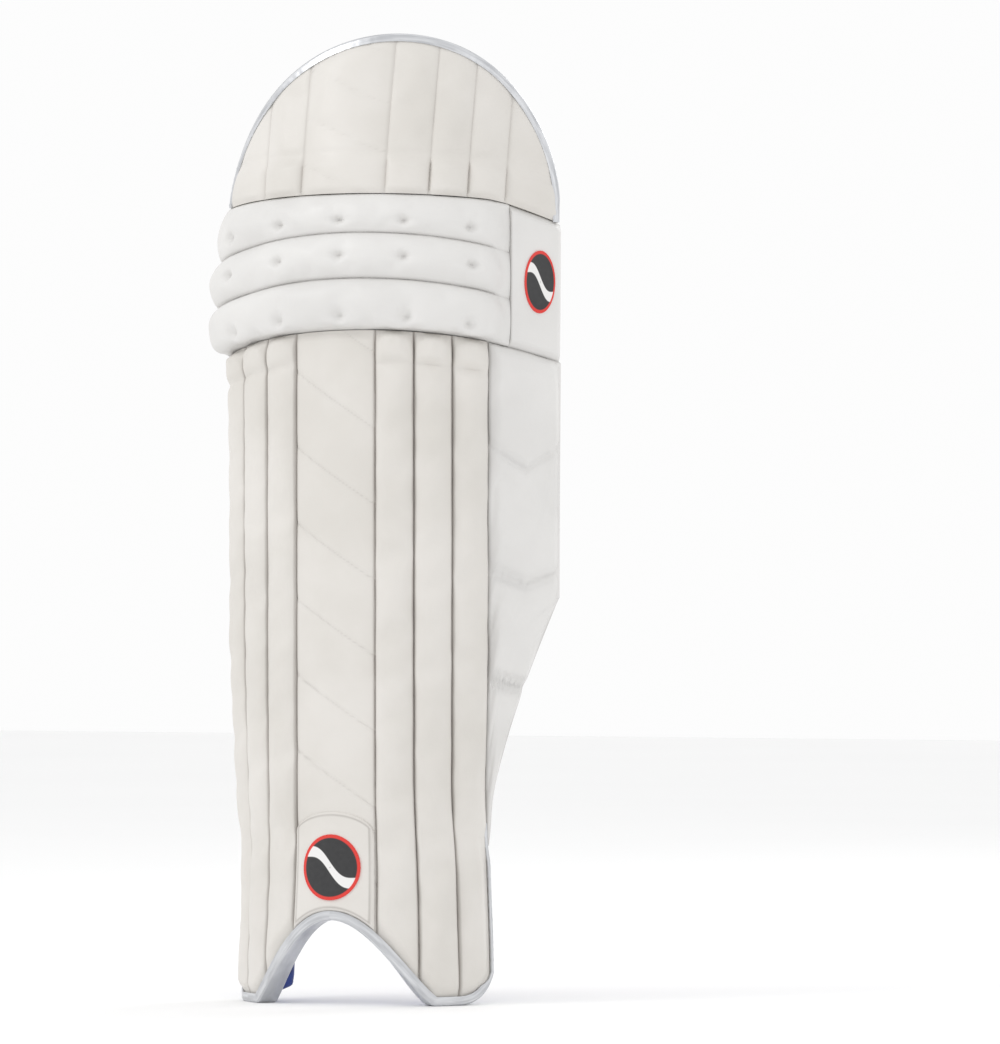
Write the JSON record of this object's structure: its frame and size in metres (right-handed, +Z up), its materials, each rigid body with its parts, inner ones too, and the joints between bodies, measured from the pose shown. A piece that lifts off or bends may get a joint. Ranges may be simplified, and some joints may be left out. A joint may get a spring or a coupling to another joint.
{
  "type": "cricket leg pad",
  "caption": "Curved padded leg guard for a batter, with front canes, knee roll, flexing top hat, folding side wing, lined inner side and hook and loop straps.",
  "frame": {"origin": "under the middle of the pad's box, on the surface that the two instep lobes stand on", "axes": "+Z up the leg, the front faces -Y, the leg goes in from +Y, and the side wing is on +X"},
  "size_m": [0.2426, 0.115, 0.6815],
  "materials": {
    "front_pvc": "coated fabric with a fine leather grain, satin",
    "lining_pvc": "smooth coated fabric, satin",
    "silver_binding": "metallic silver coated tape, glossy",
    "blue_pvc": "glossy coated fabric",
    "spacer_mesh": "open spacer mesh, matt",
    "channel_fabric": "printed polyester with a rounded cell pattern, matt",
    "cushion_fabric": "brushed polyester, matt",
    "webbing": "woven polyester webbing with two stripes",
    "hook_tape": "hook tape, ribbed",
    "loop_tape": "loop tape, napped",
    "ring_plastic": "moulded nylon, satin",
    "foam": "high density foam",
    "cane": "split cane, raw"
  },
  "bodies": {
    "shin": {"shin_board": "foam", "cane_left_1": "front_pvc", "cane_left_2": "front_pvc", "cane_left_3": "front_pvc", "cane_right_1": "front_pvc", "cane_right_2": "front_pvc", "cane_right_3": "front_pvc", "centre_panel": "front_pvc", "badge_patch": "front_pvc", "cane_slats": "cane", "side_bolster_left": "spacer_mesh", "side_bolster_right": "spacer_mesh", "channel_lining": "channel_fabric", "margin_left": "lining_pvc", "margin_right": "lining_pvc", "instep_lining_left": "blue_pvc", "instep_lining_centre": "blue_pvc", "instep_lining_right": "blue_pvc", "instep_binding_left": "silver_binding", "instep_binding_right": "silver_binding", "edge_binding_left": "silver_binding", "edge_binding_right": "silver_binding", "knee_board": "foam", "knee_roll_lower": "front_pvc", "knee_roll_middle": "front_pvc", "knee_roll_upper": "front_pvc", "knee_side_panel": "front_pvc", "knee_cushion_left": "cushion_fabric", "knee_cushion_centre": "cushion_fabric", "knee_cushion_right": "cushion_fabric", "knee_strap_root": "webbing", "calf_strap_root": "webbing", "ankle_root_tab": "webbing", "knee_loop_patch": "loop_tape", "calf_loop_patch": "loop_tape", "ankle_loop_patch": "loop_tape"},
    "top_hat": {"hat_channel_1": "front_pvc", "hat_channel_2": "front_pvc", "hat_channel_3": "front_pvc", "hat_channel_4": "front_pvc", "hat_channel_5": "front_pvc", "hat_channel_6": "front_pvc", "hat_channel_7": "front_pvc", "hat_board": "foam", "hat_lining": "lining_pvc", "hat_piping": "silver_binding"},
    "wing": {"wing_panel": "front_pvc", "wing_board": "foam", "wing_lining": "lining_pvc", "wing_binding": "front_pvc"},
    "knee_strap": {"knee_strap": "webbing", "knee_hook_tab": "hook_tape"},
    "calf_strap": {"calf_strap": "webbing", "calf_hook_tab": "hook_tape"},
    "ankle_ring": {"ankle_ring": "ring_plastic"},
    "ankle_strap": {"ankle_strap": "webbing", "ankle_hook_tab": "hook_tape"}
  },
  "joints": [
    {"name": "top_hat_flex", "type": "hinge", "parent": "shin", "child": "top_hat", "pos_m": [0, 0.02933, 0.556], "axis": [-1, 0, 0], "range_deg": [0, 10], "stiffness_Nm_per_rad": 1.5},
    {"name": "wing_fold", "type": "hinge", "parent": "shin", "child": "wing", "pos_m": [0.07679, 0.01136, 0.29], "axis": [0.0195, -0.0299, 0.9994], "range_deg": [-10, 25], "stiffness_Nm_per_rad": 0.4},
    {"name": "knee_strap_open", "type": "hinge", "parent": "shin", "child": "knee_strap", "pos_m": [0.05913, 0.01527, 0.47], "axis": [0, 0, -1], "range_deg": [0, 100]},
    {"name": "calf_strap_open", "type": "hinge", "parent": "shin", "child": "calf_strap", "pos_m": [0.0582, 0.01585, 0.351], "axis": [0, 0, -1], "range_deg": [0, 100]},
    {"name": "ankle_ring_turn", "type": "hinge", "parent": "shin", "child": "ankle_ring", "pos_m": [0.04748, 0.02083, 0.158], "axis": [0, 0, -1], "range_deg": [0, 20]},
    {"name": "ankle_strap_open", "type": "hinge", "parent": "ankle_ring", "child": "ankle_strap", "pos_m": [0.02548, 0.02683, 0.158], "axis": [0, 0, -1], "range_deg": [0, 100]}
  ]
}
